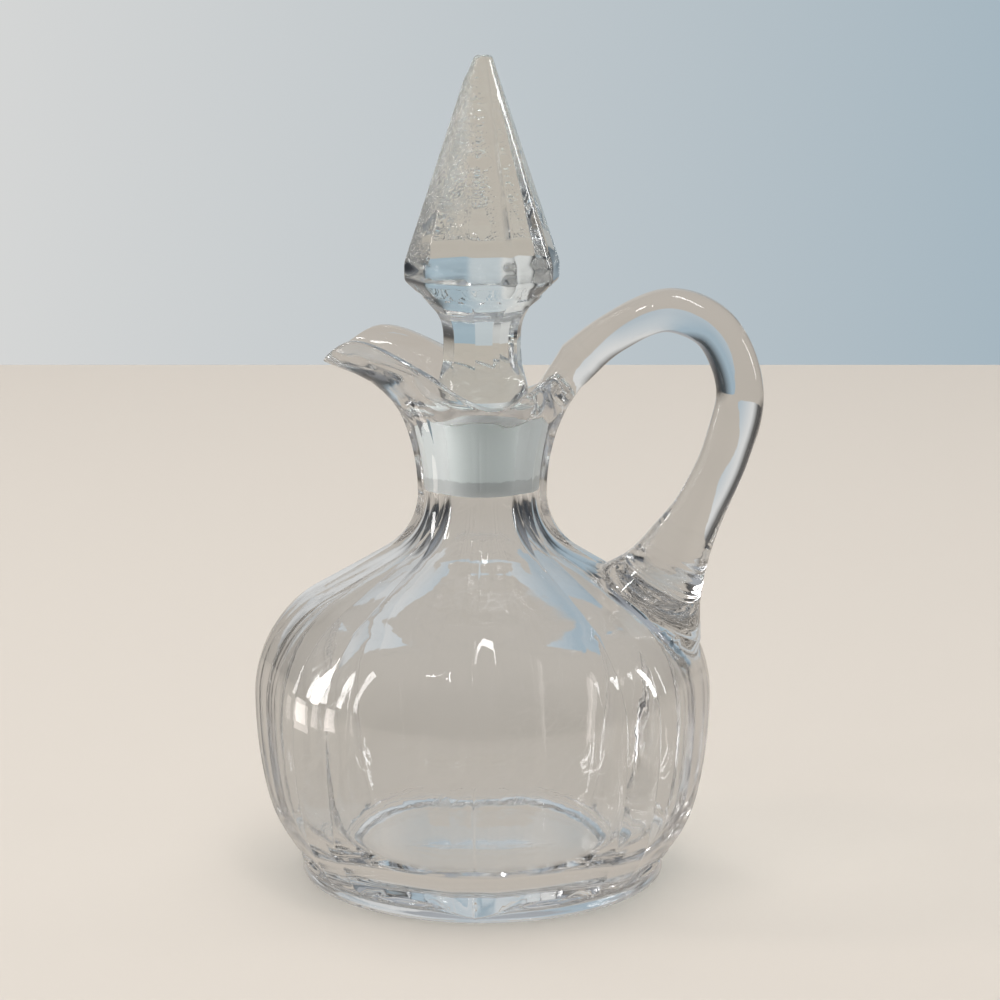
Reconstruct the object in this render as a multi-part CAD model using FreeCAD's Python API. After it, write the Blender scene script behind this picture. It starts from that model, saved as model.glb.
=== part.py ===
"""Pressed-glass oil and vinegar cruet with its faceted spire stopper.

Millimetres, +Z up.  The origin is the middle of the foot, on the table.
+X points to the handle and -X to the pouring lip.
"""
import FreeCAD, Part
import math
import os

Vector = FreeCAD.Vector
UP = Vector(0, 0, 1)
ORIGIN = Vector(0, 0, 0)

# ---------------------------------------------------------------- body, outside
panel_count = 8
rib_half_angle = 5.9          # half of the arc that a rounded rib keeps, degrees
rib_turn = 9.7                # how far the first rib stands from the handle's plane
foot_inset = 9.2              # outside of the foot, in from the belly's radius
foot_height = 3.0             # plain band that the panels stand on
foot_chamfer = 0.6
foot_flat = 2.6               # width of the ring that touches the table
punt_depth = 1.6              # hollow of the underside
punt_slope = 3.2              # width of the slope round it
panel_foot_gap = 0.8          # plain glass between the foot band and a panel
belly_radius = 46.0
belly_height = 37.0
side_arc = 95.0               # radius of the upright curve under the belly
hip_drop = 20.0               # from the belly down to where the hip curves in
shoulder_arc = 24.3           # radius of the curve over the belly
shoulder_slope = 30.0         # degrees above level, between shoulder and neck
waist_radius = 12.9
waist_rise = 41.0             # narrowest place of the neck, above the belly's widest
lip_base_radius = 15.7
lip_base_rise = 14.7          # where the lip begins, above the waist
panel_head_rise = 4.0         # the flats run out of the widening lip over this height

# ---------------------------------------------------------------- body, inside
wall = 4.4                    # at the ribs
floor_height = 6.2
floor_arc = 10.0              # radius of the corner between floor and side
inner_side_arc = 120.0
floor_dome = 1.2              # low rise in the middle of the floor
floor_dome_radius = 12.0
floor_dome_top = 4.0          # radius of its flat top
bore_radius = 8.05            # ground seat, at its upper end
bore_taper = 0.05             # radius lost for each millimetre down
bore_length = 15.0
bore_rise = 0.9               # upper end of the seat, above the base of the lip

# ---------------------------------------------------------------- lip and spout
# every rise is measured from the base of the lip
rim_low_rise = 4.3            # the two lowest places of the saddle-shaped rim
rim_low_place = 6.3           # on the handle's side of the axis
rim_axis_rise = 5.9           # the rim beside the stopper
rim_side_rise = 12.7          # the rim half way along the spout
rim_back_rise = 8.9           # the rim behind, under the handle
spout_reach = 32.0
spout_tip_rise = 11.5
spout_crest_rise = 16.6       # the folded-up sides of the spout
spout_crest_place = 23.5
spout_slope = 0.7             # fall of the spout's edge beyond its tip
lip_thickness = 3.0
rim_rounding = 0.8

# ---------------------------------------------------------------- handle
handle_thick = 8.6            # in the plane of the loop
handle_broad = 9.6            # across it
handle_rise = 27.2            # outside of the arch, above the base of the lip
handle_overhang = 9.7         # outside of the loop, beyond the belly
handle_root_depth = 3.5       # the root starts this far inside the lip's outside
handle_root_rise = 5.7
handle_root_inset = 0.4       # glass left between the root and the hollow of the lip
pad_length = 26.0             # spread foot of the handle, along the shoulder
pad_breadth = 18.5
pad_inset = 12.6              # middle of the pad, in from the belly's radius
pad_depth = 4.5               # how far its last section is sunk into the shoulder

# ---------------------------------------------------------------- stopper
# every rise is measured from the upper end of the seat
seat_clearance = 0.06
plug_gap_below = 3.0          # length of bore left free under the plug
plug_end_round = 2.6
collar_overhang = 1.05        # collar beyond the bore's radius
collar_rise = 5.3
collar_height = 1.9
collar_room = 1.4             # between the collar and the lip round it
stem_radius = 7.9
stem_rise = 12.0              # thinnest place of the stem
flare_radius = 12.2           # where the under-slope ends and the stem begins
flare_rise = 24.0
girdle_radius = 15.6
girdle_rise = 27.0
girdle_height = 4.0
total_height = 164.5
tip_radius = 2.1
facet_count = 10
facet_turn = 2.0              # from the handle's plane to a facet's middle
flute_depth = 0.45
flute_foot = 1.0              # how far the flutes run below the stem's waist

FULL_TURN = 360.0
CLEAR = 20.0                  # how far a cutting block stands beyond the glass
foot_radius = belly_radius - foot_inset
waist_height = belly_height + waist_rise
lip_base_height = waist_height + lip_base_rise
handle_reach = belly_radius + handle_overhang
bore_top = lip_base_height + bore_rise
bore_bottom = bore_top - bore_length
panel_share = math.cos(math.radians(180 / panel_count - rib_half_angle))
facet_share = math.cos(math.radians(180 / facet_count))


def profile_point(radius, height):
    """Point of a profile, drawn in the XZ plane."""
    return Vector(radius, 0, height)


def heading(angle):
    """Unit step in the XZ plane, its angle in degrees above +X."""
    turn = math.radians(angle)
    return profile_point(math.cos(turn), math.sin(turn))


def line(start, end):
    return Part.LineSegment(start, end).toShape()


def arc(middle, radius, first, last):
    """Arc in the XZ plane, between two headings in degrees."""
    halfway = (first + last) / 2
    points = [middle + radius * heading(turn) for turn in (first, halfway, last)]
    return Part.Arc(*points).toShape()


def outline(points):
    """Straight edges from point to point."""
    return [line(start, end) for start, end in zip(points, points[1:])]


def turned(edges):
    """Solid turned about Z from a closed half profile."""
    face = Part.Face(Part.Wire(edges))
    return face.revolve(ORIGIN, UP, FULL_TURN)


def around_axis(edges, half_width, count, first_turn):
    """Blocks extruded across the XZ plane and set out round the axis."""
    face = Part.Face(Part.Wire(edges))
    face.translate(Vector(0, -half_width, 0))
    block = face.extrude(Vector(0, 2 * half_width, 0))
    blocks = []
    for index in range(count):
        copy = block.copy()
        copy.rotate(ORIGIN, UP, first_turn + index * FULL_TURN / count)
        blocks.append(copy)
    return blocks


def over_the_shoulder(belly, inset, neck):
    """Belly to neck: an arc, a straight slope and a hollow arc, all tangent."""
    normal = 90 - shoulder_slope
    middle = profile_point(belly - shoulder_arc, belly_height)
    slope_start = middle + (shoulder_arc - inset) * heading(normal)
    hollow = heading(normal).dot(neck - slope_start) / (1 - heading(normal).x)
    hollow_middle = neck + profile_point(hollow, 0)
    slope_end = hollow_middle - hollow * heading(normal)
    return [
        arc(middle, shoulder_arc - inset, 0, normal),
        line(slope_start, slope_end),
        arc(hollow_middle, hollow, 180 + normal, 180),
    ]


def meeting_arc(start, normal, goal):
    """Arc that leaves a point square to its normal and ends at another point."""
    chord = goal - start
    radius = chord.dot(chord) / (-2 * chord.dot(heading(normal)))
    middle = start - radius * heading(normal)
    toward = goal - middle
    turn = math.degrees(math.atan2(toward.z, toward.x)) - normal
    last = normal + (turn + FULL_TURN / 2) % FULL_TURN - FULL_TURN / 2
    return arc(middle, radius, normal, last)


def side_edges(share, foot_top):
    """Side line from a height above the foot up to the lip, at a share of its radii."""
    belly = belly_radius * share
    foot = profile_point(foot_radius * share, foot_top)
    waist = profile_point(waist_radius * share, waist_height)
    lip_edge = profile_point(lip_base_radius * share, lip_base_height)
    side_middle = profile_point(belly - side_arc, belly_height)
    hip_turn = -math.degrees(math.asin(hip_drop / side_arc))
    hip = side_middle + side_arc * heading(hip_turn)
    edges = [meeting_arc(hip, hip_turn, foot), arc(side_middle, side_arc, hip_turn, 0)]
    edges += over_the_shoulder(belly, 0, waist)
    edges.append(meeting_arc(waist, 180, lip_edge))
    return edges, foot, lip_edge


def body_blank():
    """Solid glass with a round section: foot band, belly, shoulder and neck."""
    side, foot, lip_edge = side_edges(1, foot_height)
    flat_inside = foot_radius - foot_chamfer - foot_flat
    under = [
        profile_point(0, lip_base_height),
        profile_point(0, punt_depth),
        profile_point(flat_inside - punt_slope, punt_depth),
        profile_point(flat_inside, 0),
        profile_point(foot_radius - foot_chamfer, 0),
        profile_point(foot_radius, foot_chamfer),
        foot,
    ]
    return turned(outline(under) + side + [line(lip_edge, under[0])])


def panel_cutters():
    """One long block for each flat panel, curved only up and down."""
    side, foot, lip_edge = side_edges(panel_share, foot_height + panel_foot_gap)
    outside = belly_radius + CLEAR
    around = [
        lip_edge,
        lip_edge + profile_point(0, panel_head_rise),
        profile_point(outside, lip_base_height + panel_head_rise),
        profile_point(outside, foot.z),
        foot,
    ]
    half_width = belly_radius * math.tan(math.radians(180 / panel_count))
    return around_axis(side + outline(around), half_width, panel_count,
                       rib_turn + 180 / panel_count)


def bore_radius_at(height):
    return bore_radius - bore_taper * (bore_top - height)


def cavity():
    """The space inside: raised floor, belly, shoulder and the ground bore."""
    inner = belly_radius - wall
    side_middle = profile_point(inner - inner_side_arc, belly_height)
    corner_height = floor_height + floor_arc
    drop = belly_height - corner_height
    corner_turn = -math.degrees(math.asin(drop / (inner_side_arc - floor_arc)))
    corner_middle = side_middle + (inner_side_arc - floor_arc) * heading(corner_turn)
    throat = profile_point(bore_radius_at(bore_bottom), bore_bottom)
    up_the_axis = [
        throat,
        profile_point(bore_radius, bore_top),
        profile_point(0, bore_top),
        profile_point(0, floor_height + floor_dome),
        profile_point(floor_dome_top, floor_height + floor_dome),
        profile_point(floor_dome_radius, floor_height),
        profile_point(corner_middle.x, floor_height),
    ]
    side = [
        arc(corner_middle, floor_arc, -90, corner_turn),
        arc(side_middle, inner_side_arc, corner_turn, 0),
    ]
    side += over_the_shoulder(belly_radius, wall, throat)
    return turned(side + outline(up_the_axis))


def ovoid(height, half_width, front, back):
    """Level outline of the lip: two half ovals, the longer one to the spout."""
    middle = Vector(0, 0, height)
    across = Vector(0, half_width, height)
    halves = []
    for side, reach in ((1, back), (-1, front)):
        along = Vector(side * reach, 0, height)
        if reach > half_width:
            oval = Part.Ellipse(along, Vector(0, side * half_width, height), middle)
            halves.append(oval.toShape(-math.pi / 2, math.pi / 2))
        elif reach < half_width:
            oval = Part.Ellipse(Vector(0, side * half_width, height),
                                Vector(-side * reach, 0, height), middle)
            halves.append(oval.toShape(-math.pi, 0))
        else:
            start = Vector(0, -side * half_width, height)
            end = Vector(0, side * half_width, height)
            halves.append(Part.Arc(start, along, end).toShape())
    return Part.Wire(halves)


def lip_blank():
    """Outside of the lip: round at the neck, drawn out into the spout above."""
    base = lip_base_radius
    # rise above the base of the lip, reach of the spout's side and of the back
    steps = [
        (2.9, base + 1.7, base + 0.2),
        (5.8, base + 4.6, base + 0.5),
        (8.6, base + 9.0, base + 0.8),
        (10.8, spout_reach - 1.0, base + 1.1),
        (18.6, spout_reach + 9.0, base + 1.6),
    ]
    sections = [ovoid(lip_base_height, base, base, base)]
    for rise, front, back in steps:
        sections.append(ovoid(lip_base_height + rise, base, front, back))
    return Part.makeLoft(sections, True, False)


def funnel(growth=0.0):
    """Inside of the lip, from the ground bore to the trough of the spout."""
    inner = lip_base_radius - lip_thickness + growth
    mouth = bore_radius + growth
    throat = mouth + collar_overhang + collar_room
    # rise above the base of the lip, half width, reach to the spout and the back
    steps = [
        (2.6, throat, throat + 0.2, throat),
        (4.8, inner - 0.3, inner + 0.5, inner - 0.4),
        (8.7, inner, inner + 4.2, inner),
        (11.3, inner, spout_reach - 9.5, inner + 0.4),
        (12.7, inner, spout_reach - 1.5, inner + 0.6),
        (20.6, inner, spout_reach + 12.0, inner + 1.0),
    ]
    sections = [ovoid(bore_top, mouth, mouth, mouth)]
    for rise, half_width, front, back in steps:
        sections.append(ovoid(lip_base_height + rise, half_width, front, back))
    return Part.makeLoft(sections, True, False)


def rim_plank():
    """Block above the saddle-shaped rim; its underside is the rim's height."""
    # place along the handle's plane, rise above the base of the lip
    rim = [
        (-spout_reach - CLEAR / 2, spout_tip_rise - spout_slope * CLEAR / 2),
        (-spout_reach, spout_tip_rise),
        (-spout_crest_place, spout_crest_rise),
        (-spout_crest_place / 2, rim_side_rise),
        (0, rim_axis_rise),
        (rim_low_place, rim_low_rise),
        (lip_base_radius, rim_back_rise),
        (lip_base_radius + CLEAR, rim_back_rise + CLEAR / 5),
    ]
    points = [profile_point(place, lip_base_height + rise) for place, rise in rim]
    under = Part.BSplineCurve()
    under.interpolate(points)
    top = lip_base_height + spout_crest_rise + CLEAR
    over = [points[-1], profile_point(points[-1].x, top),
            profile_point(points[0].x, top), points[0]]
    edges = [under.toShape()] + outline(over)
    return around_axis(edges, lip_base_radius + CLEAR, 1, 0)[0]


def lip():
    """The widened lip with its rounded rim."""
    solid = lip_blank().cut(funnel()).cut(rim_plank()).Solids[0]
    rim_edges = []
    for face in solid.Faces:
        if isinstance(face.Surface, Part.SurfaceOfExtrusion):
            rim_edges += face.Edges
    return solid.makeFillet(rim_rounding, rim_edges)


def oval_section(middle, direction, thick, broad):
    """Oval across the handle, whose direction is in degrees above +X."""
    curve = Part.Ellipse()
    curve.MajorRadius = max(thick, broad) / 2
    curve.MinorRadius = min(thick, broad) / 2
    curve.Center = middle
    curve.Axis = heading(direction)
    curve.XAxis = heading(direction + 90) if thick > broad else Vector(0, 1, 0)
    return Part.Wire(curve.toShape())


def handle():
    """Loop drawn from the rim over to the shoulder, with its spread foot."""
    slope_start = profile_point(belly_radius - shoulder_arc, belly_height)
    slope_start += shoulder_arc * heading(90 - shoulder_slope)
    root = profile_point(lip_base_radius - handle_root_depth,
                         lip_base_height + handle_root_rise)
    outer = profile_point(handle_reach - handle_thick / 2,
                          lip_base_height + handle_rise - handle_thick / 2)
    pad_place = belly_radius - pad_inset
    pad = profile_point(pad_place, slope_start.z - pad_depth)
    pad.z += (slope_start.x - pad_place) * math.tan(math.radians(shoulder_slope))
    # share of the way from the root out to the loop's side and up to its arch,
    # direction, thickness in the plane of the loop, breadth across it
    rising = [
        (0.0, 0.0, 42, handle_thick - 1.6, handle_broad + 5.4),
        (0.12, 0.27, 42, handle_thick + 0.2, handle_broad + 2.8),
        (0.35, 0.71, 37, handle_thick - 0.6, handle_broad),
        (0.63, 1.0, 2, handle_thick, handle_broad),
    ]
    # the same, from the pad out and up
    falling = [
        (0.73, 0.94, -48, handle_thick + 0.4, handle_broad),
        (1.0, 0.75, -92, handle_thick + 0.8, handle_broad),
        (0.86, 0.55, -111, handle_thick + 0.9, handle_broad),
        (0.60, 0.37, -116, handle_thick + 1.4, handle_broad + 0.1),
        (0.38, 0.25, -119, handle_thick + 4.0, handle_broad + 1.6),
        (0.20, 0.13, -124, pad_length - 8.5, pad_breadth - 4.6),
        (0.05, 0.04, -126, pad_length - 1.5, pad_breadth),
        (-0.04, -0.015, -126, pad_length, pad_breadth),
    ]
    sections = []
    for start, rows in ((root, rising), (pad, falling)):
        for out, up, direction, thick, broad in rows:
            middle = profile_point(start.x + out * (outer.x - start.x),
                                   start.z + up * (outer.z - start.z))
            sections.append(oval_section(middle, direction, thick, broad))
    return Part.makeLoft(sections, True, False)


def cruet():
    """The whole vessel: one piece of glass, hollow, with its handle."""
    body = body_blank().cut(panel_cutters())
    loop = handle().cut(funnel(handle_root_inset))
    return body.fuse([lip(), loop]).cut(cavity())


def ring(radius, height):
    """Corners of a level polygon with one side for each facet."""
    corners = []
    for index in range(facet_count + 1):
        turn = math.radians(facet_turn + (index + 0.5) * FULL_TURN / facet_count)
        corners.append(Vector(radius * math.cos(turn), radius * math.sin(turn), height))
    return corners


def spire():
    """Faceted point, girdle and under-slope of the stopper."""
    girdle_bottom = bore_top + girdle_rise
    rings = [
        ring(tip_radius, total_height),
        ring(girdle_radius, girdle_bottom + girdle_height),
        ring(girdle_radius, girdle_bottom),
        ring(flare_radius, bore_top + flare_rise),
    ]
    faces = [Part.Face(Part.makePolygon(rings[0])), Part.Face(Part.makePolygon(rings[-1]))]
    for upper, lower in zip(rings, rings[1:]):
        for index in range(facet_count):
            corners = [upper[index], upper[index + 1], lower[index + 1], lower[index]]
            faces.append(Part.Face(Part.makePolygon(corners + corners[:1])))
    return Part.Solid(Part.Shell(faces))


def stem_blank():
    """Round stem that flares out to the under-slope, and its collar."""
    collar_radius = bore_radius + collar_overhang
    collar_top = bore_top + collar_rise
    flare = profile_point(flare_radius * facet_share, bore_top + flare_rise)
    stem = profile_point(stem_radius, bore_top + stem_rise)
    collar = profile_point(collar_radius, collar_top)
    base = [
        collar,
        profile_point(collar_radius, collar_top - collar_height),
        profile_point(0, collar_top - collar_height),
        profile_point(0, flare.z),
        flare,
    ]
    upper = meeting_arc(stem, 180, flare)
    lower = meeting_arc(stem, 180, collar)
    return turned([upper, lower] + outline(base))


def flute_cutters():
    """Blocks that leave flat flutes with arched heads on the stem."""
    middle = stem_radius - flute_depth
    stem = profile_point(middle, bore_top + stem_rise)
    low = stem - profile_point(0, flute_foot)
    arch = profile_point(flare_radius, bore_top + flare_rise + flute_depth)
    outside = girdle_radius + CLEAR
    around = [
        arch,
        profile_point(outside, arch.z),
        profile_point(outside, low.z - outside + middle),
        low,
        stem,
    ]
    half_width = flare_radius * math.tan(math.radians(180 / facet_count))
    edges = [meeting_arc(stem, 180, arch)] + outline(around)
    return around_axis(edges, half_width, facet_count, facet_turn)


def plug():
    """Ground plug that closes the bore, with its rounded end."""
    top_height = bore_top + collar_rise - collar_height
    bottom = bore_bottom + plug_gap_below
    low_radius = bore_radius_at(bottom) - seat_clearance
    flat_radius = low_radius - plug_end_round
    around = [
        profile_point(flat_radius, bottom - plug_end_round),
        profile_point(0, bottom - plug_end_round),
        profile_point(0, top_height),
        profile_point(bore_radius + collar_overhang, top_height),
        profile_point(bore_radius - seat_clearance, bore_top),
        profile_point(low_radius, bottom),
    ]
    round_end = arc(profile_point(flat_radius, bottom), plug_end_round, 0, -90)
    return turned([round_end] + outline(around))


def stopper():
    """Solid stopper: faceted spire, fluted stem, collar and ground plug."""
    stem = stem_blank().cut(flute_cutters())
    return spire().fuse([stem, plug()])


def write(name, shape):
    """Save one clean solid under its node's name."""
    clean = shape.removeSplitter()
    solid = clean.Solids[0]
    box = solid.BoundBox
    print(name, "solids", len(clean.Solids), "valid", solid.isValid(),
          "cm3", round(solid.Volume / 1000, 2),
          "x", round(box.XMin, 2), round(box.XMax, 2),
          "y", round(box.YMin, 2), round(box.YMax, 2),
          "z", round(box.ZMin, 2), round(box.ZMax, 2))
    solid.exportStep("parts/" + name + ".step")


os.makedirs("parts", exist_ok=True)
write("cruet", cruet())
write("stopper", stopper())
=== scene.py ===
# %% [markdown]
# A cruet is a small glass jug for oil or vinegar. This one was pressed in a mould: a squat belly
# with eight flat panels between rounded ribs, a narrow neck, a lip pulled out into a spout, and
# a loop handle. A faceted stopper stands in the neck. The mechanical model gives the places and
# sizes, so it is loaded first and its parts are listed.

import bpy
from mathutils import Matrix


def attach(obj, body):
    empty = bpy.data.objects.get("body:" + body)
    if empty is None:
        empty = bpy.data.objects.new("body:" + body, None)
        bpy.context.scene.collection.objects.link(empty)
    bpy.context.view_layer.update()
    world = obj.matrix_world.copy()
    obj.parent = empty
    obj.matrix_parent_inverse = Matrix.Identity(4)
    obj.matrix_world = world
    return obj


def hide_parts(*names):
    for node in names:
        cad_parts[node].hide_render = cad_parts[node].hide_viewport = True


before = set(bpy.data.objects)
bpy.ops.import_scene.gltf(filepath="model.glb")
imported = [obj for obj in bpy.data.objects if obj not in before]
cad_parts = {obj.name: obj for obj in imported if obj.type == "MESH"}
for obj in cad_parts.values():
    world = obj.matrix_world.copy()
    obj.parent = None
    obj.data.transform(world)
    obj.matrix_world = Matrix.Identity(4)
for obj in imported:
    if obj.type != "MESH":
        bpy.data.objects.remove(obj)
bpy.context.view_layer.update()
print("nodes:", sorted(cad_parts))

# %% Tools and units
import math

import bmesh
import bpy
from mathutils import Vector, kdtree

MM = 0.001
STEP_LAYER = "step_round"


def deselect():
    if bpy.context.object and bpy.context.object.mode != "OBJECT":
        bpy.ops.object.mode_set(mode="OBJECT")
    bpy.ops.object.select_all(action="DESELECT")


def only(piece):
    deselect()
    piece.select_set(True)
    bpy.context.view_layer.objects.active = piece


def apply_modifiers(piece):
    only(piece)
    for modifier in list(piece.modifiers):
        bpy.ops.object.modifier_apply(modifier=modifier.name)


# %% [markdown]
# A drawn or pressed vessel is a stack of rings. Blender can turn such a shape with Spin, but the
# panels and the spout aren't round. So a filled circle is extruded ring by ring, and each new
# ring's points are laid on the outline of their own height. Every point carries the number of
# its step round the ring, which the extrusion hands on.

# %% Skins made ring by ring
def start_skin(name, points):
    deselect()
    bpy.ops.mesh.primitive_circle_add(vertices=len(points), radius=MM, fill_type="NGON")
    piece = bpy.context.object
    piece.name = name
    piece.data.name = name
    bpy.ops.object.mode_set(mode="EDIT")
    mesh = bmesh.from_edit_mesh(piece.data)
    layer = mesh.verts.layers.int.new(STEP_LAYER)
    corners = list(mesh.faces)[0].verts
    for step, corner in enumerate(corners):
        corner[layer] = step
    bmesh.update_edit_mesh(piece.data)
    bpy.ops.mesh.select_all(action="SELECT")
    lay_ring(piece, points)
    return piece


def lay_ring(piece, points):
    mesh = bmesh.from_edit_mesh(piece.data)
    layer = mesh.verts.layers.int[STEP_LAYER]
    for corner in mesh.verts:
        if corner.select:
            corner.co = Vector(points[corner[layer]]) * MM
    bmesh.update_edit_mesh(piece.data)


def next_ring(piece, points):
    bpy.ops.mesh.extrude_region_move()
    lay_ring(piece, points)


def end_skin(piece):
    bpy.ops.mesh.select_all(action="SELECT")
    bpy.ops.mesh.normals_make_consistent(inside=False)
    bpy.ops.object.mode_set(mode="OBJECT")
    piece.data.attributes.remove(piece.data.attributes[STEP_LAYER])
    return piece


def skin(name, rings):
    piece = start_skin(name, rings[0])
    for points in rings[1:]:
        next_ring(piece, points)
    return end_skin(piece)


# %% Smooth lines through stations
def bezier(poles, steps):
    line = []
    for step in range(1, steps + 1):
        t = step / steps
        u = 1 - t
        line.append(tuple(u ** 3 * a + 3 * u * u * t * b + 3 * u * t * t * c + t ** 3 * d
                          for a, b, c, d in zip(*poles)))
    return line


def smooth(stations, at):
    """Value at a place, on a smooth line through (place, value) stations."""
    last = len(stations) - 1
    if at <= stations[0][0]:
        return stations[0][1]
    if at >= stations[last][0]:
        return stations[last][1]
    index = max(i for i in range(last) if stations[i][0] <= at)

    def slope(i):
        low, high = max(i - 1, 0), min(i + 1, last)
        return (stations[high][1] - stations[low][1]) / (stations[high][0] - stations[low][0])

    (x0, y0), (x1, y1) = stations[index], stations[index + 1]
    span = x1 - x0
    t = (at - x0) / span
    rise = y1 - y0
    return (y0 + t * t * (3 - 2 * t) * rise + span * t * (1 - t)
            * ((1 - t) * slope(index) - t * slope(index + 1)))


# %% [markdown]
# The belly's outline seen from above: eight flats between eight rounded ribs. The points crowd
# together at the edges of the ribs, so that each edge is crisp but rounded, as fire-polished
# glass is.

# %% The body's rings
RIBS = 8
RIB_TURN = 9.7
RIB_HALF = 5.9
SECTOR = [0, 0.35, 0.8, 2.2, 4.2, 5.3, 5.7, 6.1, 6.5, 8, 10.5, 13.5, 16.8, 19.8, 22.5]
SECTOR = SECTOR + [45 - a for a in SECTOR[-2:0:-1]]
ANGLES = [RIB_TURN + 45 * rib + a for rib in range(RIBS) for a in SECTOR]
FLAT = math.cos(math.radians(22.5 - RIB_HALF))


def flat_share(angle):
    """How far in a panel lies, as a share of the rib's radius."""
    off = (angle - RIB_TURN) % 45 - 22.5
    if abs(off) >= 22.5 - RIB_HALF:
        return 1.0
    return FLAT / math.cos(math.radians(off))


def body_ring(radius, height, panels=0.0):
    points = []
    for angle in ANGLES:
        share = 1 + panels * (flat_share(angle) - 1)
        turn = math.radians(angle)
        points.append((radius * share * math.cos(turn), radius * share * math.sin(turn), height))
    return points


def arc(middle, radius, first, last, count):
    """Points on an arc, between two headings in degrees above level."""
    points = []
    for step in range(1, count + 1):
        turn = math.radians(first + (last - first) * step / count)
        points.append((middle[0] + radius * math.cos(turn), middle[1] + radius * math.sin(turn)))
    return points


def seam(angle, width):
    """One on the two ribs where the halves of the mould met, fading to nothing beside them."""
    off = min(abs((angle - SEAM_TURN + 180) % 360 - 180), abs((angle - SEAM_TURN) % 360 - 180))
    return math.exp(-(off / width) ** 2)


def ribbed_ring(radius, height, panels=1.0, dip=0.0):
    """A ring with flats, a fine seam, and, at the foot, ribs that run down over the band."""
    points = []
    for angle in ANGLES:
        share = 1 + panels * (flat_share(angle) - 1)
        reach = radius * share + SEAM_HEIGHT * seam(angle, SEAM_WIDTH * 36 / max(radius, 20))
        turn = math.radians(angle)
        points.append((reach * math.cos(turn), reach * math.sin(turn),
                       height - dip * seam(angle, 8.5)))
    return points


SEAM_TURN = RIB_TURN - 90
SEAM_WIDTH = 0.42
SEAM_HEIGHT = 0.16
hip = arc((13.55, 23.53), 31.0, -41.4, -12.2, 9)
side = arc((-49, 37), 95, -12.15, 0, 7)
shoulder = arc((21.7, 37), 24.3, 0, 60, 12) + [(30.2, 60.1), (25.9, 62.6), (22.0, 64.9)]
neck = arc((26.5, 78), 13.6, 240, 180, 11)
throat_side = arc((52.9, 78), 40, 180, 158.6, 6)
outer_side = hip + side + shoulder + neck + throat_side
foot = [(3, 1.6), (15, 1.6), (26, 1.6), (28.6, 1.55), (30.4, 1.38), (31.8, 0.95), (32.9, 0.4),
        (33.6, 0.1), (34.2, 0), (35.0, 0), (35.8, 0), (36.3, 0.06), (36.6, 0.25), (36.75, 0.6),
        (36.8, 1.2)]
outer_rings = [body_ring(radius, height) for radius, height in foot[:-1]]
outer_rings.append(ribbed_ring(36.8, 1.2, 0.0, 0.3))
# radius, height, how much of the flats shows, how far the rib runs down
for row in [(36.8, 2.1, 0.0, 1.05), (36.82, 2.75, 0.0, 1.6), (36.95, 3.1, 0.0, 1.85),
            (37.25, 3.4, 0.3, 2.05), (37.5, 3.65, 0.75, 2.15), (37.75, 3.95, 1.0, 2.25)]:
    outer_rings.append(ribbed_ring(*row))
for radius, height in outer_side[1:-1]:
    outer_rings.append(ribbed_ring(radius, height, 1.0, 2.25 * max(0.0, 1 - height / 18)))
print("body rings outside:", len(outer_rings), "points in each:", len(ANGLES))

# %% [markdown]
# The lip was opened with a tool while the glass was hot, and its front pulled out into a spout.
# At each height it is two half ovals, and its rim follows a saddle: low at the sides, high on
# the folded sides of the spout. Each point of the rim is where its wall meets that saddle.

# %% The lip's rings
LIP_BASE = 92.7
BORE_TOP = 93.6
LIP_HALF = 15.7
OUT_FRONT = [(92.7, 15.7), (95.6, 17.4), (98.5, 20.3), (101.3, 24.7), (103.5, 31.0), (111.3, 41)]
OUT_BACK = [(92.7, 15.7), (95.6, 15.9), (98.5, 16.2), (101.3, 16.5), (103.5, 16.8), (111.3, 17.3)]
IN_FRONT = [(93.6, 8.05), (95.3, 10.7), (97.5, 13.2), (101.4, 16.9), (104.0, 22.5),
            (105.4, 30.5), (113.3, 44)]
IN_BACK = [(93.6, 8.05), (95.3, 10.5), (97.5, 12.3), (101.4, 12.7), (104.0, 13.1),
           (105.4, 13.3), (113.3, 13.7)]
IN_HALF = [(93.6, 8.05), (95.3, 10.5), (97.5, 12.4), (101.4, 12.7), (113.3, 12.7)]
OUT_HALF = [(92.7, LIP_HALF), (111.3, LIP_HALF)]
RIM = [(-42, 97.2), (-32, 104.2), (-23.5, 109.3), (-11.75, 105.4), (0, 98.6), (6.3, 97.0),
       (15.7, 101.6), (52, 109)]
ROUND = 0.85
HANDLE_LIFT = 2.8


def wall_point(angle, height, inside):
    front, back, half = (IN_FRONT, IN_BACK, IN_HALF) if inside else (OUT_FRONT, OUT_BACK, OUT_HALF)
    turn = math.radians(angle)
    reach = smooth(back if math.cos(turn) > 0 else front, height)
    return Vector((reach * math.cos(turn), smooth(half, height) * math.sin(turn), height))


def drawn_up(angle):
    """How far the pull of the handle lifted the rim at its back."""
    off = (angle + 180) % 360 - 180
    return HANDLE_LIFT * math.exp(-(off / 31) ** 2)


def rim_height(angle, inside):
    low = BORE_TOP if inside else LIP_BASE
    step = 0.25
    while low + step < smooth(RIM, wall_point(angle, low + step, inside).x) + drawn_up(angle):
        low += step
    high = low + step
    for _ in range(24):
        middle = (low + high) / 2
        point = wall_point(angle, middle, inside)
        if middle < smooth(RIM, point.x) + drawn_up(angle):
            low = middle
        else:
            high = middle
    return low


def wall_ring(share, inside):
    """Ring part of the way from the neck up to the rim."""
    foot_height = BORE_TOP if inside else LIP_BASE
    return [wall_point(angle, foot_height + share * (top - foot_height), inside)
            for angle, top in zip(ANGLES, inner_top if inside else outer_top)]


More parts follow.
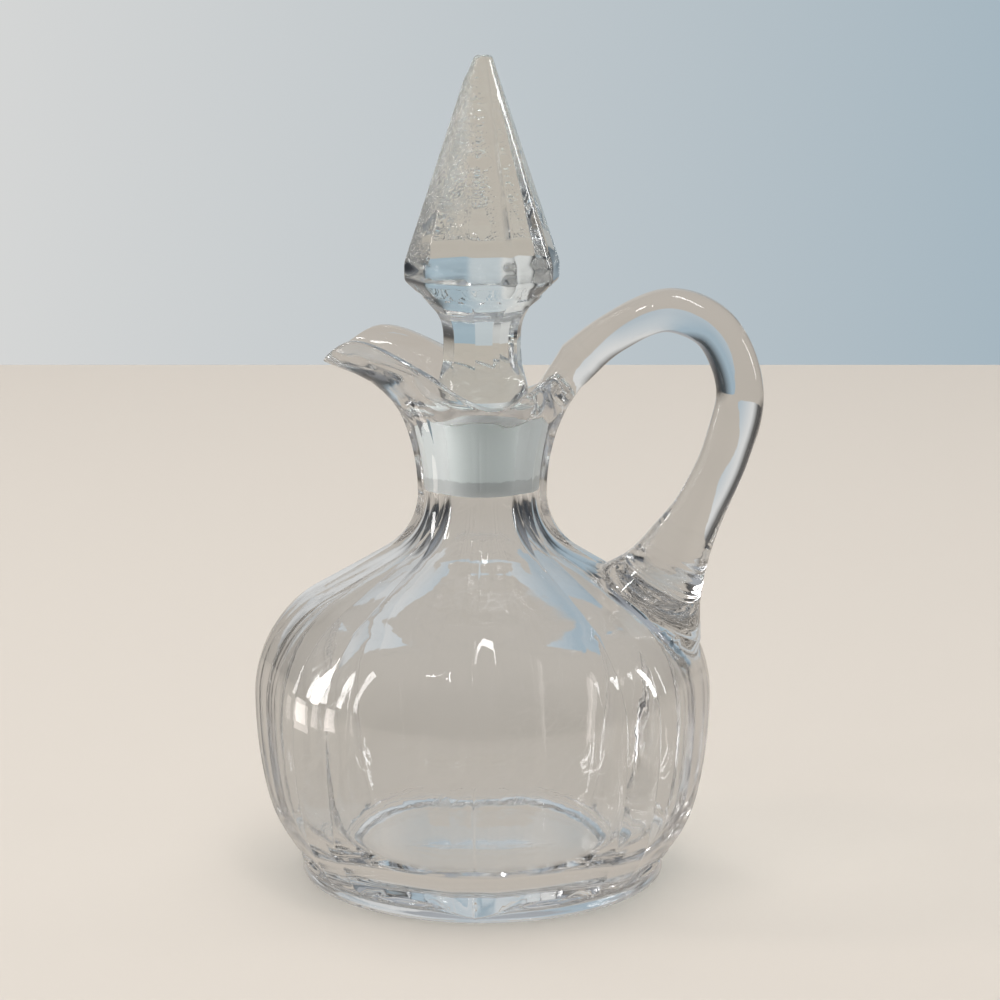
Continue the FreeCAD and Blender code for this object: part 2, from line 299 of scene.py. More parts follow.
def dripped(angle, point, share):
    """The spout's tip is drawn out a little and hooked down, where the last drop hangs."""
    near = math.exp(-(((angle % 360) - 180) / 7.5) ** 2)
    return point + Vector((-0.7 * near * share, 0, -0.75 * near * share))


def toward(start, goal, distance):
    step = goal - start
    if step.length < 1e-6:
        return start.copy()
    return start + step * min(distance / step.length, 0.5)


outer_top = [rim_height(angle, False) for angle in ANGLES]
inner_top = [rim_height(angle, True) for angle in ANGLES]
lip_rings = []
for share in (0.0, 0.16, 0.32, 0.48, 0.62, 0.74, 0.84, 0.91):
    ring = wall_ring(share, False)
    height_share = max(0.0, 1 - share / 0.32)
    points = []
    for angle, point in zip(ANGLES, ring):
        squeeze = 1 + height_share * (flat_share(angle) - 1)
        point = Vector((point.x * squeeze, point.y * squeeze, point.z))
        points.append(dripped(angle, point, max(0.0, share - 0.7) / 0.3))
    lip_rings.append(points)
outer_edge = [dripped(angle, point, 1.0) for angle, point in zip(ANGLES, wall_ring(1.0, False))]
outer_below = [dripped(angle, point, 0.8) for angle, point in zip(ANGLES, wall_ring(0.94, False))]
inner_edge = wall_ring(1.0, True)
inner_below = wall_ring(0.9, True)
corners = []
for outer, below, inner, inner_low in zip(outer_edge, outer_below, inner_edge, inner_below):
    corners.append(([toward(outer, below, ROUND), outer, toward(outer, inner, ROUND)],
                    [toward(inner, outer, ROUND), inner, toward(inner, inner_low, ROUND)]))
for corner in (0, 1):
    for t in (0.0, 0.2, 0.4, 0.6, 0.8, 1.0):
        lip_rings.append([a[corner][0] * (1 - t) ** 2 + a[corner][1] * 2 * t * (1 - t)
                          + a[corner][2] * t * t for a in corners])
for share in (0.91, 0.84, 0.74, 0.62, 0.5, 0.38, 0.26, 0.16, 0.08, 0.03, 0.0):
    lip_rings.append(wall_ring(share, True))
print("rim from", round(min(outer_top), 1), "to", round(max(outer_top), 1), "mm")

# %% [markdown]
# Inside, the glass is smooth and round. The bore is a slightly tapered seat for the stopper,
# and below it the hollow follows the outside at the thickness of the wall.

# %% The hollow's rings and the vessel
hollow = [(7.92, 91), (7.74, 87.4), (7.5, 82.6), (7.34, 79.4), (7.3, 78.6)]
hollow += arc((25.1, 78.6), 17.8, 180, 240, 10)
hollow += [(19.0, 61.55), (24.8, 58.2), (28.0, 56.35)]
hollow += arc((21.7, 37), 19.9, 60, 0, 11)
hollow += arc((-78.4, 37), 120, 0, -9.1, 5)
hollow += arc((26.26, 20.2), 14, -9.1, -90, 14)
hollow += [(22, 6.23), (18, 6.33), (14, 6.52), (10, 6.8), (7, 7.04), (4.5, 7.22), (2, 7.35)]
inner_rings = [body_ring(radius, height) for radius, height in hollow]
vessel = skin("vessel", outer_rings + lip_rings + inner_rings)
print("vessel:", len(vessel.data.polygons), "faces")

# %% [markdown]
# The handle is one gather of glass, drawn from the back of the rim over to the shoulder, where
# it spreads into a thick pad. It is a run of ovals along its line. Both ends are laid inside the
# thickness of the glass, so that the two can be united without showing in the hollow.

# %% The handle
# place along X, height, direction, thickness in the loop's plane, breadth across it
STATIONS = [
    (17.0, 103.0, 42, 8.8, 12.4),
    (26.0, 110.6, 37, 8.0, 9.6),
    (37.0, 115.6, 2, 8.6, 9.6),
    (46.6, 111.9, -48, 9.0, 9.6),
    (51.4, 100.4, -92, 9.4, 9.6),
    (48.9, 88.0, -111, 9.5, 9.6),
    (44.2, 77.0, -116, 10.0, 9.6),
    (40.2, 69.4, -119, 12.6, 11.2),
    (37.0, 62.4, -124, 17.5, 13.9),
    (34.4, 56.8, -126, 24.5, 18.5),
]
OVAL = 56
HANDLE_RINGS = 96
HANDLE_LENGTH = 130.0


def oval(place, height, direction, thick, broad):
    turn = math.radians(direction)
    points = []
    for step in range(OVAL):
        a = 2 * math.pi * step / OVAL
        up = thick / 2 * math.cos(a)
        across = broad / 2 * math.sin(a)
        points.append(Vector((place - up * math.sin(turn), across, height + up * math.cos(turn))))
    return points


def along(stations, steps):
    marks = [0.0]
    for a, b in zip(stations, stations[1:]):
        marks.append(marks[-1] + math.dist(a[:2], b[:2]))
    columns = [list(zip(marks, values)) for values in zip(*stations)]
    return [[smooth(column, marks[-1] * step / steps) for column in columns]
            for step in range(steps + 1)]


def surface_height(distance):
    """Height of the shoulder's rib line over a distance from the axis."""
    line = [(r, z) for r, z in outer_side if z >= 37]
    for (r0, z0), (r1, z1) in zip(line, line[1:]):
        if r1 <= distance <= r0:
            return z0 + (z1 - z0) * (r0 - distance) / (r0 - r1)
    return 37.0


def sunk(points, depth):
    """Points laid under the shoulder's surface."""
    laid = []
    for point in points:
        distance = min(math.hypot(point.x, point.y), 45.5)
        laid.append(Vector((point.x, point.y, surface_height(distance) - depth)))
    return laid


def shrunk(points, share):
    middle = sum(points, Vector()) / len(points)
    return [middle + (point - middle) * share for point in points]


def in_wall(points, radius):
    return [Vector((math.sqrt(radius ** 2 - point.y ** 2), point.y, point.z)) for point in points]


def drawn(row, length):
    """One oval of the handle, with the ripples of the pull and the creases of its pressed foot."""
    place, height, direction, thick, broad = row
    pull = 0.12 * math.sin(length / 5.3) + 0.08 * math.sin(length / 2.9 + 1)
    pressed = 0.0
    if place > 30:
        pressed = max(0.0, min(1.0, (71 - height) / 8)) * max(0.0, min(1.0, (height - 57) / 2))
    points = oval(place, height, direction, thick + pull, broad - pull)
    middle = sum(points, Vector()) / len(points)
    creased = []
    for step, point in enumerate(points):
        a = 2 * math.pi * step / OVAL
        bent = length + 1.1 * math.sin(2 * a + 0.6) + 0.5 * math.sin(5 * a)
        wave = math.sin(2 * math.pi * bent / CREASE_PITCH + 1.3 * math.sin(length / 2.3))
        deep = max(0.0, math.cos(a - 0.5)) * (0.6 + 0.4 * math.sin(length * 0.7))
        away = (point - middle).normalized()
        creased.append(point + away * pressed * CREASE_DEPTH * deep * wave)
    return creased


CREASE_PITCH = 3.1
CREASE_DEPTH = 0.09
root = oval(15.0, 99.6, 0, 8.0, 14.0)
handle_rings = [in_wall(shrunk(root, share), 14.3) for share in (0.25, 0.6, 1.0)]
rows = along(STATIONS, HANDLE_RINGS)
foot_start = int(0.78 * HANDLE_RINGS)
for index, row in enumerate(rows):
    length = HANDLE_LENGTH * index / HANDLE_RINGS
    handle_rings.append(drawn(row, length))
    if foot_start <= index < HANDLE_RINGS:
        for part in (0.25, 0.5, 0.75):
            between = [a + (b - a) * part for a, b in zip(row, rows[index + 1])]
            handle_rings.append(drawn(between, length + part * HANDLE_LENGTH / HANDLE_RINGS))
pad_end = oval(32.9, 54.0, -126, 26.0, 18.5)
handle_rings += [sunk(shrunk(pad_end, share), 2.4) for share in (1.0, 0.7, 0.4, 0.15)]
handle = skin("handle", handle_rings)
print("handle:", len(handle.data.polygons), "faces")

# %% Unite the handle with the vessel
def melt_joints(piece, low, high, reach, passes):
    """Smooths the glass round the hollow creases where two pieces were united."""
    mesh = bmesh.new()
    mesh.from_mesh(piece.data)
    creases = set()
    for edge in mesh.edges:
        if len(edge.link_faces) == 2 and not edge.is_convex and edge.calc_face_angle() > 0.35:
            if all(low * MM < corner.co.z < high * MM for corner in edge.verts):
                if all(corner.co.x > 0 for corner in edge.verts):
                    creases.update(edge.verts)
    tree = kdtree.KDTree(len(creases))
    for index, corner in enumerate(creases):
        tree.insert(corner.co, index)
    tree.balance()
    near = [corner for corner in mesh.verts if tree.find(corner.co)[2] < reach * MM]
    bmesh.ops.remove_doubles(mesh, verts=near, dist=SLIVER * MM)
    near = [corner for corner in mesh.verts if tree.find(corner.co)[2] < reach * MM]
    for _ in range(passes):
        bmesh.ops.smooth_vert(mesh, verts=near, factor=0.5, use_axis_x=True, use_axis_y=True,
                              use_axis_z=True)
    mesh.to_mesh(piece.data)
    mesh.free()
    print("melted", len(near), "points beside", len(creases))


SLIVER = 0.3
joint = vessel.modifiers.new("handle joint", "BOOLEAN")
joint.operation = "UNION"
joint.solver = "EXACT"
joint.object = handle
apply_modifiers(vessel)
bpy.data.objects.remove(handle)
cruet = vessel
cruet.name = "cruet_glass"
melt_joints(cruet, 95, 112, 4.6, 40)
melt_joints(cruet, 45, 80, 1.1, 6)
only(cruet)
bpy.ops.object.shade_smooth_by_angle(angle=math.radians(35))
print("cruet:", len(cruet.data.polygons), "faces")

# %% [markdown]
# The stopper was pressed too: ten facets run up to a blunt point, and under the girdle ten
# flutes are cut into the stem. Both are flats on a turned shape. So each ring lies at whichever
# is nearer the axis, the turned outline or the flat, with the edge between them a little melted.

# %% The stopper's rings
FACETS = 10
FACET_TURN = 2.0
MELT = 0.12
FACET_SECTOR = [0, 3, 6, 9, 12, 14.4, 16, 17, 17.6, 18]
FACET_SECTOR = FACET_SECTOR + [36 - a for a in FACET_SECTOR[-2:0:-1]]
STOPPER_ANGLES = [36 * facet + a for facet in range(FACETS) for a in FACET_SECTOR]
FACET_FLAT = math.cos(math.radians(18))


def melted(a, b, width):
    """The smaller of two radii, with the corner between them rounded."""
    h = max(0.0, min(1.0, 0.5 + 0.5 * (b - a) / width))
    return b + (a - b) * h - width * h * (1 - h)


def stopper_ring(turned, flat, height, width=MELT):
    points = []
    for angle in STOPPER_ANGLES:
        off = math.radians((angle + 18) % 36 - 18)
        radius = melted(flat / math.cos(off), turned, width)
        turn = math.radians(angle + FACET_TURN)
        points.append((radius * math.cos(turn), radius * math.sin(turn), height))
    return points


def chipped(points):
    """The very tip has lost a flake on one side."""
    laid = []
    for point in points:
        turn = math.degrees(math.atan2(point[1], point[0]))
        off = (turn - CHIP_TURN + 180) % 360 - 180
        lost = math.exp(-(off / 38) ** 2) * max(0.0, point[2] - 160.8) / 3.7
        rough = 0.12 * math.sin(turn / 9) * max(0.0, point[2] - 162.5)
        share = 1 - 0.34 * lost + rough * 0.1
        laid.append((point[0] * share, point[1] * share, point[2] - 0.9 * lost - abs(rough) * 0.4))
    return laid


CHIP_TURN = 205


def plain_ring(radius, height):
    return [(radius * math.cos(math.radians(angle + FACET_TURN)),
             radius * math.sin(math.radians(angle + FACET_TURN)), height)
            for angle in STOPPER_ANGLES]


SPIRE = [(164.5, 1.5), (164.4, 1.85), (164.1, 2.14), (163.6, 2.3), (160, 3.5), (150, 6.84),
         (140, 10.2), (130, 13.6), (126, 14.95), (125.0, 15.28), (124.6, 15.42), (124.2, 15.5),
         (123.6, 15.58), (121.6, 15.58), (121.0, 15.5), (120.6, 15.36), (120.2, 15.02),
         (119.7, 14.5), (118.6, 13.3), (118.1, 12.75), (117.7, 12.3)]
spire_rings = [stopper_ring(radius * (0.992 if height > 118.2 else 0.972),
                            radius * FACET_FLAT, height) for height, radius in SPIRE]
spire_rings = [chipped(points) for points in spire_rings]
print("spire rings:", len(spire_rings))

# %% The stem, its flutes and the collar
stem_line = [(11.75, 117.3), (11.3, 116.85), (11.0, 116.5), (10.7, 116.1), (10.4, 115.65)]
stem_line += bezier([(10.1, 115.2), (8.9, 113.2), (7.95, 110.2), (7.95, 105.6)], 14)
stem_line += bezier([(7.95, 105.6), (7.95, 102.6), (8.9, 100.6), (9.1, 98.9)], 9)
flute_line = [(105.6, 7.45), (108, 7.36), (110.6, 7.45), (112.4, 7.8), (114.0, 8.5),
              (115.4, 9.6), (116.4, 10.7), (117.3, 12.2), (118, 13.5)]
stem_rings = []
for radius, height in stem_line:
    foot_share = max(0.0, min(1.0, (height - 99.6) / 4.6))
    flat = radius + 0.05 - 0.55 * foot_share * foot_share * (3 - 2 * foot_share)
    if height > 105.6:
        flat = smooth(flute_line, height)
    stem_rings.append(stopper_ring(radius, flat, height, 0.14))
collar = [(9.12, 98.6), (9.12, 97.4), (9.05, 97.05), (8.9, 96.9), (8.0, 93.9), (7.6, 93.75), (2, 93.75)]
stem_rings += [plain_ring(radius, height) for radius, height in collar]
stopper = skin("stopper_glass", spire_rings + stem_rings)
only(stopper)
bpy.ops.object.shade_smooth_by_angle(angle=math.radians(35))
print("stopper:", len(stopper.data.polygons), "faces")

# %% [markdown]
# The plug under the collar was ground into the neck with wet sand, so its skin is white and
# matt. It is a piece of its own here, because its finish is another one.

# %% The ground plug
plug_line = [(2, 93.7), (7.6, 93.7), (7.9, 93.6), (7.96, 93.2), (7.86, 91.2), (7.66, 87.2),
             (7.46, 83.2), (7.38, 81.6), (7.2, 80.5), (6.6, 79.6), (5.7, 79.1), (4.8, 79.0), (2, 79.0)]
plug = skin("ground_plug", [plain_ring(radius, height) for radius, height in plug_line])
only(plug)
bpy.ops.object.shade_smooth_by_angle(angle=math.radians(40))
print("plug:", len(plug.data.polygons), "faces")

# %% [markdown]
# Clear glass is all surface: what is seen through it is bent and what is seen in it is
# mirrored. The shader's transmission does both. A slight waviness of the surface, left by the
# mould and the fire, bends the lines a little.

# %% Materials
def new_material(name, colour, roughness, ior=1.5, transmission=1.0):
    material = bpy.data.materials.new(name)
    material.use_nodes = True
    shader = material.node_tree.nodes["Principled BSDF"]
    shader.inputs["Base Color"].default_value = (*colour, 1)
    shader.inputs["Roughness"].default_value = roughness
    shader.inputs["IOR"].default_value = ior
    shader.inputs["Transmission Weight"].default_value = transmission
    return material


def dress(piece, material, node):
    piece.data.materials.clear()
    piece.data.materials.append(material)
    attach(piece, "root")
    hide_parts(node)


def make_group(name, inputs, outputs):
    """An empty node group with its sockets and its two end nodes."""
    group = bpy.data.node_groups.new(name, "ShaderNodeTree")
    for label, kind, value in inputs:
        socket = group.interface.new_socket(label, in_out="INPUT", socket_type=kind)
        if value is not None:
            socket.default_value = value
    for label, kind in outputs:
        group.interface.new_socket(label, in_out="OUTPUT", socket_type=kind)
    return group, group.nodes.new("NodeGroupInput"), group.nodes.new("NodeGroupOutput")


def math_node(tree, operation, a, b=None, clamp=False):
    node = tree.nodes.new("ShaderNodeMath")
    node.operation = operation
    node.use_clamp = clamp
    for socket, value in zip(node.inputs, (a, b)):
        if value is None:
            continue
        if isinstance(value, (int, float)):
            socket.default_value = value
        else:
            tree.links.new(value, socket)
    return node.outputs[0]


def noise(tree, place, scale, detail=2.0, roughness=0.5):
    node = tree.nodes.new("ShaderNodeTexNoise")
    node.inputs["Scale"].default_value = scale
    node.inputs["Detail"].default_value = detail
    node.inputs["Roughness"].default_value = roughness
    tree.links.new(place, node.inputs["Vector"])
    return node.outputs["Fac"]


def wavy_group():
    """Height of a fire-polished surface: long waves, and short ones a tenth as deep."""
    group, ends, out = make_group("fire_polish", [("Place", "NodeSocketVector", None)],
                                  [("Height", "NodeSocketFloat")])
    long_waves = noise(group, ends.outputs["Place"], 38.0, 1.0)
    short_waves = noise(group, ends.outputs["Place"], 190.0, 2.0)
    both = math_node(group, "MULTIPLY_ADD", short_waves, 0.16)
    group.links.new(long_waves, both.node.inputs[2])
    group.links.new(both, out.inputs["Height"])
    return group


def scratch_group():
    """Fine scratches: thin stretched cells, in the few places where they were rubbed in."""
    group, ends, out = make_group("scratches", [("Place", "NodeSocketVector", None),
                                                ("Turn", "NodeSocketFloat", 0.6)],
                                  [("Mask", "NodeSocketFloat")])
    rotate = group.nodes.new("ShaderNodeVectorRotate")
    rotate.rotation_type = "AXIS_ANGLE"
    rotate.inputs["Axis"].default_value = (0.3, 1.0, 0.2)
    group.links.new(ends.outputs["Place"], rotate.inputs["Vector"])
    group.links.new(ends.outputs["Turn"], rotate.inputs["Angle"])
    stretch = group.nodes.new("ShaderNodeVectorMath")
    stretch.operation = "MULTIPLY"
    stretch.inputs[1].default_value = (28.0, 420.0, 700.0)
    group.links.new(rotate.outputs[0], stretch.inputs[0])
    cells = group.nodes.new("ShaderNodeTexVoronoi")
    cells.feature = "DISTANCE_TO_EDGE"
    cells.inputs["Scale"].default_value = 1.0
    group.links.new(stretch.outputs[0], cells.inputs["Vector"])
    thin = math_node(group, "LESS_THAN", cells.outputs["Distance"], 0.035)
    patches = noise(group, ends.outputs["Place"], 60.0, 3.0)
    few = math_node(group, "GREATER_THAN", patches, 0.56)
    group.links.new(math_node(group, "MULTIPLY", thin, few), out.inputs["Mask"])
    return group


def use_group(material, group, place, **values):
    node = material.node_tree.nodes.new("ShaderNodeGroup")
    node.node_tree = group
    material.node_tree.links.new(place, node.inputs["Place"])
    for label, value in values.items():
        node.inputs[label].default_value = value
    return node


def object_place(material):
    return material.node_tree.nodes.new("ShaderNodeTexCoord").outputs["Object"]


def bump(material, height, distance, below=None):
    node = material.node_tree.nodes.new("ShaderNodeBump")
    node.inputs["Strength"].default_value = 1.0
    node.inputs["Distance"].default_value = distance
    material.node_tree.links.new(height, node.inputs["Height"])
    if below is not None:
        material.node_tree.links.new(below, node.inputs["Normal"])
    return node.outputs["Normal"]


def shader_of(material):
    return material.node_tree.nodes["Principled BSDF"]


def let_lamps_through(material, tint):
    """Light from the lamps passes the glass, so that what stands inside it is lit."""
    tree = material.node_tree
    rays = tree.nodes.new("ShaderNodeLightPath")
    clear = tree.nodes.new("ShaderNodeBsdfTransparent")
    clear.inputs["Color"].default_value = (*tint, 1)
    blend = tree.nodes.new("ShaderNodeMixShader")
    tree.links.new(rays.outputs["Is Shadow Ray"], blend.inputs[0])
    tree.links.new(shader_of(material).outputs[0], blend.inputs[1])
    tree.links.new(clear.outputs[0], blend.inputs[2])
    tree.links.new(blend.outputs[0], tree.nodes["Material Output"].inputs["Surface"])


def smudge(material, place, middle, reach):
    """A rubbed, greasy patch round one place, with a ragged edge."""
    tree = material.node_tree
    away = tree.nodes.new("ShaderNodeVectorMath")
    away.operation = "DISTANCE"
    tree.links.new(place, away.inputs[0])
    away.inputs[1].default_value = middle
    near = math_node(tree, "MULTIPLY_ADD", away.outputs["Value"], -1 / reach)
    near.node.inputs[2].default_value = 1.0
    ragged = math_node(tree, "SUBTRACT", noise(tree, place, 150.0, 3.0, 0.5), 0.36)
    return math_node(tree, "MULTIPLY", math_node(tree, "MULTIPLY", near, 1.0, clamp=True),
                     math_node(tree, "MULTIPLY", ragged, 3.0, clamp=True), clamp=True)


fire_polish = wavy_group()
scratches = scratch_group()

clear_glass = new_material("clear_glass", (0.975, 0.985, 0.992), 0.0)
tree = clear_glass.node_tree
place = object_place(clear_glass)
waves = use_group(clear_glass, fire_polish, place)
marks = use_group(clear_glass, scratches, place, Turn=0.7)
tree.links.new(bump(clear_glass, waves.outputs["Height"], 0.00022), shader_of(clear_glass).inputs["Normal"])
rubbed = smudge(clear_glass, place, (0.020, -0.0224, 0.060), 0.016)
matt = math_node(tree, "MULTIPLY_ADD", rubbed, 0.16)
tree.links.new(math_node(tree, "MULTIPLY", marks.outputs["Mask"], 0.14), matt.node.inputs[2])
tree.links.new(matt, shader_of(clear_glass).inputs["Roughness"])
let_lamps_through(clear_glass, (0.78, 0.80, 0.81))

stopper_glass = new_material("stopper_glass", (0.962, 0.985, 0.972), 0.0)
tree = stopper_glass.node_tree
place = object_place(stopper_glass)
waves = use_group(stopper_glass, fire_polish, place)
split = tree.nodes.new("ShaderNodeSeparateXYZ")
tree.links.new(place, split.inputs[0])
left_side = math_node(tree, "MULTIPLY", split.outputs["X"], -260.0, clamp=True)
above = math_node(tree, "GREATER_THAN", split.outputs["Z"], 0.1247)
patchy = math_node(tree, "GREATER_THAN", noise(tree, place, 95.0, 2.0), 0.40)
grainy = math_node(tree, "MULTIPLY", math_node(tree, "MULTIPLY", left_side, above), patchy)
peel = math_node(tree, "MULTIPLY", noise(tree, place, 1400.0, 1.0), grainy)
smooth_skin = bump(stopper_glass, waves.outputs["Height"], 0.00012)
tree.links.new(bump(stopper_glass, peel, 0.0007, smooth_skin), shader_of(stopper_glass).inputs["Normal"])
let_lamps_through(stopper_glass, (0.80, 0.83, 0.81))

ground_glass = new_material("ground_glass", (0.93, 0.97, 0.96), 0.5, transmission=0.25)
tree = ground_glass.node_tree
place = object_place(ground_glass)
tree.links.new(bump(ground_glass, noise(tree, place, 2600.0, 2.0), 0.00003), shader_of(ground_glass).inputs["Normal"])
let_lamps_through(ground_glass, (0.6, 0.62, 0.61))
# The plug's colour is greyer below a ragged line near its foot.
height = tree.nodes.new("ShaderNodeSeparateXYZ")
tree.links.new(place, height.inputs[0])
ragged = math_node(tree, "MULTIPLY_ADD", noise(tree, place, 420.0, 4.0, 0.7), 0.0022)
tree.links.new(height.outputs["Z"], ragged.node.inputs[2])
thick = math_node(tree, "MULTIPLY", math_node(tree, "SUBTRACT", ragged, 0.0826), 3000.0, clamp=True)
frost = tree.nodes.new("ShaderNodeMix")
frost.data_type = "RGBA"
frost.inputs[6].default_value = (0.68, 0.71, 0.70, 1)
frost.inputs[7].default_value = (0.93, 0.975, 0.96, 1)
tree.links.new(thick, frost.inputs[0])
tree.links.new(frost.outputs[2], shader_of(ground_glass).inputs["Base Color"])


def grind_bore(piece, material):
    """Gives the ground finish to the faces of the bore, picked by their place."""
    piece.data.materials.append(material)
    only(piece)
    for face in piece.data.polygons:
        middle = face.center / MM
        in_bore = math.hypot(middle.x, middle.y) < 8.3 and 78.9 < middle.z < 93.9
        face.material_index = 1 if in_bore else 0


dress(cruet, clear_glass, "cruet")
grind_bore(cruet, ground_glass)
dress(stopper, stopper_glass, "stopper")
dress(plug, ground_glass, "stopper")

# %% [markdown]
# The studio: a plain pale table with a pale wall behind it.

# %% Floor, wall, light and camera
HEADING = math.radians(12.0 - 0.344)
FORWARD = Vector((-math.sin(HEADING), math.cos(HEADING), 0))


def fade(tree, value, full, gone):
    """Painted shade: one up to a first place, down to the dim UNLIT share past a second."""
    node = tree.nodes.new("ShaderNodeMapRange")
    node.inputs["From Min"].default_value = full
    node.inputs["From Max"].default_value = gone
    node.inputs["To Min"].default_value = 1.0
    node.inputs["To Max"].default_value = UNLIT
    tree.links.new(value, node.inputs["Value"])
    return node.outputs[0]


UNLIT = 0.12


def stage_material(name, colour, painted_right_colour, seen_lit, camera_too, side_fade, front_fade):
    """A matt surface. Rays from glass, and from the camera if asked, see instead a painted glow of its colour, lit
    and unshadowed; the glow goes over to a second colour on the right, a painted shade where that is darker, and
    fades to painted dark at the sides and far off.
    """
    material = bpy.data.materials.new(name)
    material.use_nodes = True
    tree = material.node_tree
    shader = tree.nodes["Principled BSDF"]
    shader.inputs["Base Color"].default_value = (*colour, 1)
    shader.inputs["Roughness"].default_value = 0.7
    shader.inputs["Specular IOR Level"].default_value = 0.2
    across = tree.nodes.new("ShaderNodeSeparateXYZ")
    tree.links.new(tree.nodes.new("ShaderNodeTexCoord").outputs["Object"], across.inputs[0])
    # Painted light and shade: the glow's colour goes from the given colour on the left to the second one on the
    # right.
    ramp = tree.nodes.new("ShaderNodeMapRange")
    ramp.inputs["From Min"].default_value = -0.16
    ramp.inputs["From Max"].default_value = 0.16
    tree.links.new(across.outputs["X"], ramp.inputs["Value"])
    mix = tree.nodes.new("ShaderNodeMix")
    mix.data_type = "RGBA"
    mix.inputs[6].default_value = (*(c * seen_lit for c in colour), 1)
    mix.inputs[7].default_value = (*(c * seen_lit for c in painted_right_colour), 1)
    tree.links.new(ramp.outputs[0], mix.inputs[0])
    # Painted light: this emission shows the surface lit, though it is no lamp.
    glow = tree.nodes.new("ShaderNodeEmission")
    tree.links.new(mix.outputs[2], glow.inputs["Color"])
    # Painted shade: the glow dims towards the sides and far off, for dark edges in the glass.
    sideways = fade(tree, math_node(tree, "ABSOLUTE", across.outputs["X"]), *side_fade)
    forwards = fade(tree, across.outputs["Y"], *front_fade)
    tree.links.new(math_node(tree, "MULTIPLY", sideways, forwards), glow.inputs["Strength"])
    rays = tree.nodes.new("ShaderNodeLightPath")
    seen = math_node(tree, "MAXIMUM", rays.outputs["Is Transmission Ray"], rays.outputs["Is Glossy Ray"])
    if camera_too:
        seen = math_node(tree, "MAXIMUM", seen, rays.outputs["Is Camera Ray"])
    blend = tree.nodes.new("ShaderNodeMixShader")
    tree.links.new(seen, blend.inputs[0])
    tree.links.new(shader.outputs[0], blend.inputs[1])
    tree.links.new(glow.outputs[0], blend.inputs[2])
    tree.links.new(blend.outputs[0], tree.nodes["Material Output"].inputs["Surface"])
    return material


def stage_plane(name, size, place, upright, material):
    deselect()
    bpy.ops.mesh.primitive_plane_add(size=1, location=place,
                                     rotation=(math.radians(90) if upright else 0, 0, HEADING))
    plane = bpy.context.object
    plane.name = name
    plane.scale = (*size, 1)
    plane.data.materials.append(material)
    return plane


TABLE_BACK = 0.638
# The table's glow shows only through and in the glass: painted, unshadowed light, fading to painted dark at the sides
# and behind.
stage_plane("floor", (4.4, 3.2), FORWARD * (TABLE_BACK - 1.6), False,
            stage_material("table", (0.60, 0.545, 0.48), (0.60, 0.545, 0.48), 0.86, False,
                           (0.07, 0.17), (0.26, 0.14)))
# The wall glows for the camera too: painted light, pale grey on the left, going over to a painted, darker blue-grey
# shade on the right.
stage_plane("backdrop", (2.6, 2.4), FORWARD * 1.5 + Vector((0, 0, 0.2)), True,
            stage_material("wall", (0.69, 0.69, 0.68), (0.36, 0.455, 0.52), 1.0, True,
                           (0.2, 0.38), (1.0, 1.2)))

world = bpy.data.worlds.new("studio")
bpy.context.scene.world = world
world.use_nodes = True
sky = world.node_tree
up = sky.nodes.new("ShaderNodeSeparateXYZ")
sky.links.new(sky.nodes.new("ShaderNodeTexCoord").outputs["Generated"], up.inputs[0])
rise = sky.nodes.new("ShaderNodeMapRange")
rise.inputs["From Min"].default_value = 0.05
rise.inputs["From Max"].default_value = 0.75
sky.links.new(up.outputs["Z"], rise.inputs["Value"])
shade = sky.nodes.new("ShaderNodeMix")
shade.data_type = "RGBA"
shade.inputs[6].default_value = (0.035, 0.037, 0.042, 1)
shade.inputs[7].default_value = (0.36, 0.38, 0.41, 1)
sky.links.new(rise.outputs[0], shade.inputs[0])
room = sky.nodes.new("ShaderNodeMix")
room.data_type = "RGBA"
room.inputs[7].default_value = (0.66, 0.65, 0.63, 1)
sky.links.new(sky.nodes.new("ShaderNodeLightPath").outputs["Is Camera Ray"], room.inputs[0])
sky.links.new(shade.outputs[2], room.inputs[6])
sky.links.new(room.outputs[2], sky.nodes["Background"].inputs["Color"])
sky.nodes["Background"].inputs["Strength"].default_value = 1.0


def softbox(name, place, target, size, radiance, colour=(1, 1, 1)):
    """A soft lamp, given by how bright its face is."""
    light = bpy.data.lights.new(name, "AREA")
    light.shape = "RECTANGLE"
    light.size, light.size_y = size
    light.energy = radiance * math.pi * size[0] * size[1]
    light.color = colour
    lamp = bpy.data.objects.new(name, light)
    bpy.context.scene.collection.objects.link(lamp)
    lamp.location = place
    lamp.rotation_euler = (Vector(target) - Vector(place)).to_track_quat("-Z", "Y").to_euler()
    return lamp


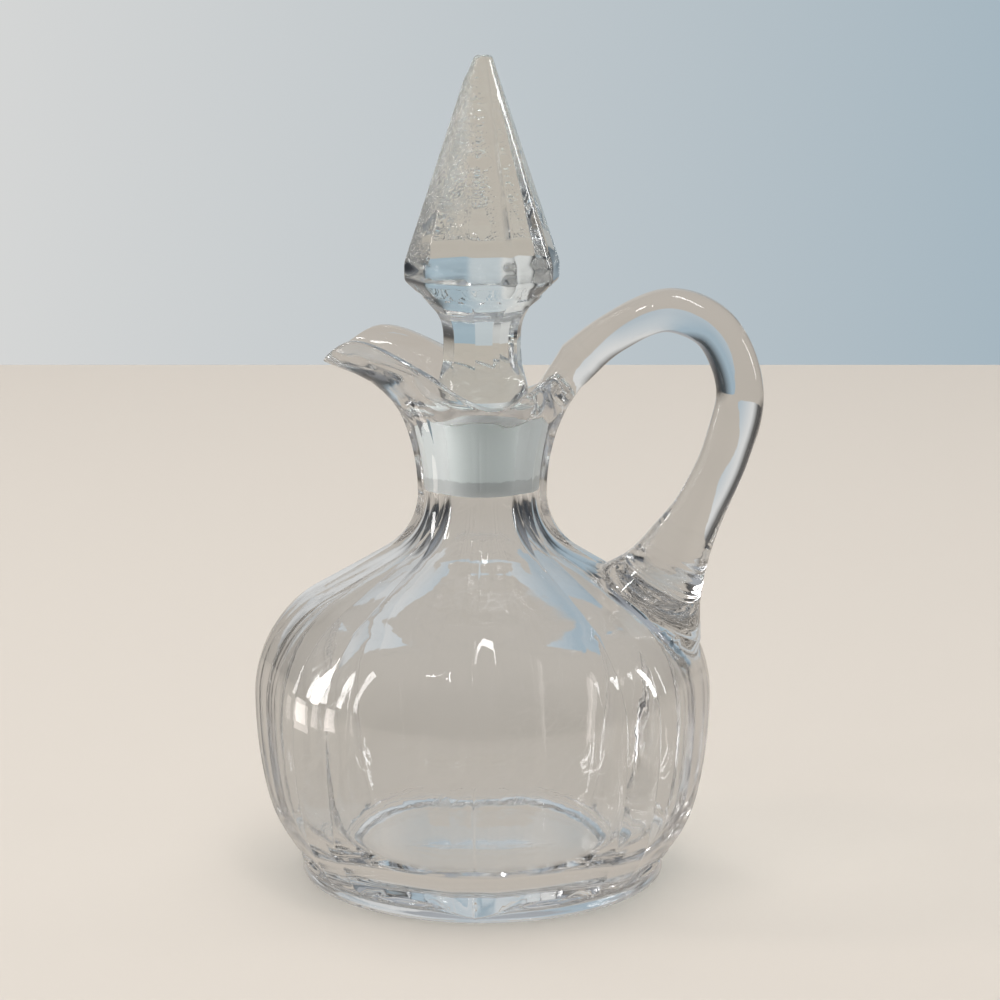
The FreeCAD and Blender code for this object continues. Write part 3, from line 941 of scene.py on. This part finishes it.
overhead = softbox("overhead", (0.0, 0.1, 2.2), (0, 0, 0), (2.0, 2.0), 2.9)
overhead.visible_glossy = False
overhead.visible_transmission = False
softbox("window", (-1.3, -0.25, 0.55), (0, 0, 0.06), (0.16, 0.9), 16, (1, 0.97, 0.95))
for mirrored_only in (softbox("ceiling strip", (0.25, -0.25, 1.6), (0, 0, 0.1), (0.12, 0.9), 14),
                      softbox("lamp one", (-0.62, -0.66, 0.95), (0, 0, 0.06), (0.07, 0.15), 34),
                      softbox("lamp two", (-0.42, -0.80, 1.0), (0, 0, 0.06), (0.04, 0.12), 34)):
    mirrored_only.visible_transmission = False
softbox("right", (1.2, 0.35, 0.40), (0, 0, 0.09), (0.06, 0.5), 14)


def card(name, place, facing, size, glow, colour):
    """A bright card beside the table, which only shows in the glass."""
    deselect()
    turn = (Vector(facing) - Vector(place)).to_track_quat("Z", "Y").to_euler()
    bpy.ops.mesh.primitive_plane_add(size=1, location=place, rotation=turn)
    plane = bpy.context.object
    plane.name = name
    plane.scale = (*size, 1)
    material = bpy.data.materials.new(name)
    material.use_nodes = True
    tree = material.node_tree
    lit = tree.nodes.new("ShaderNodeEmission")
    lit.inputs["Color"].default_value = (*colour, 1)
    lit.inputs["Strength"].default_value = glow
    tree.links.new(lit.outputs[0], tree.nodes["Material Output"].inputs["Surface"])
    plane.data.materials.append(material)
    plane.visible_camera = False
    plane.visible_diffuse = False
    plane.visible_shadow = False


card("card low left", (-0.165, -0.035, 0.02), (0, 0, 0.03), (0.03, 0.04), 4.0, (1.0, 0.91, 0.85))

bpy.context.scene.cycles.max_bounces = 28
bpy.context.scene.cycles.glossy_bounces = 20
bpy.context.scene.cycles.transmission_bounces = 24

camera_data = bpy.data.cameras.new("camera")
camera_data.lens = 108
camera_data.sensor_width = 36
camera = bpy.data.objects.new("camera", camera_data)
bpy.context.scene.collection.objects.link(camera)
camera.location = (0.12225, -0.57515, 0.199)
camera.rotation_euler = (math.radians(90 - 11.8), 0, HEADING)
bpy.context.scene.camera = camera
bpy.context.scene.view_settings.view_transform = "Standard"
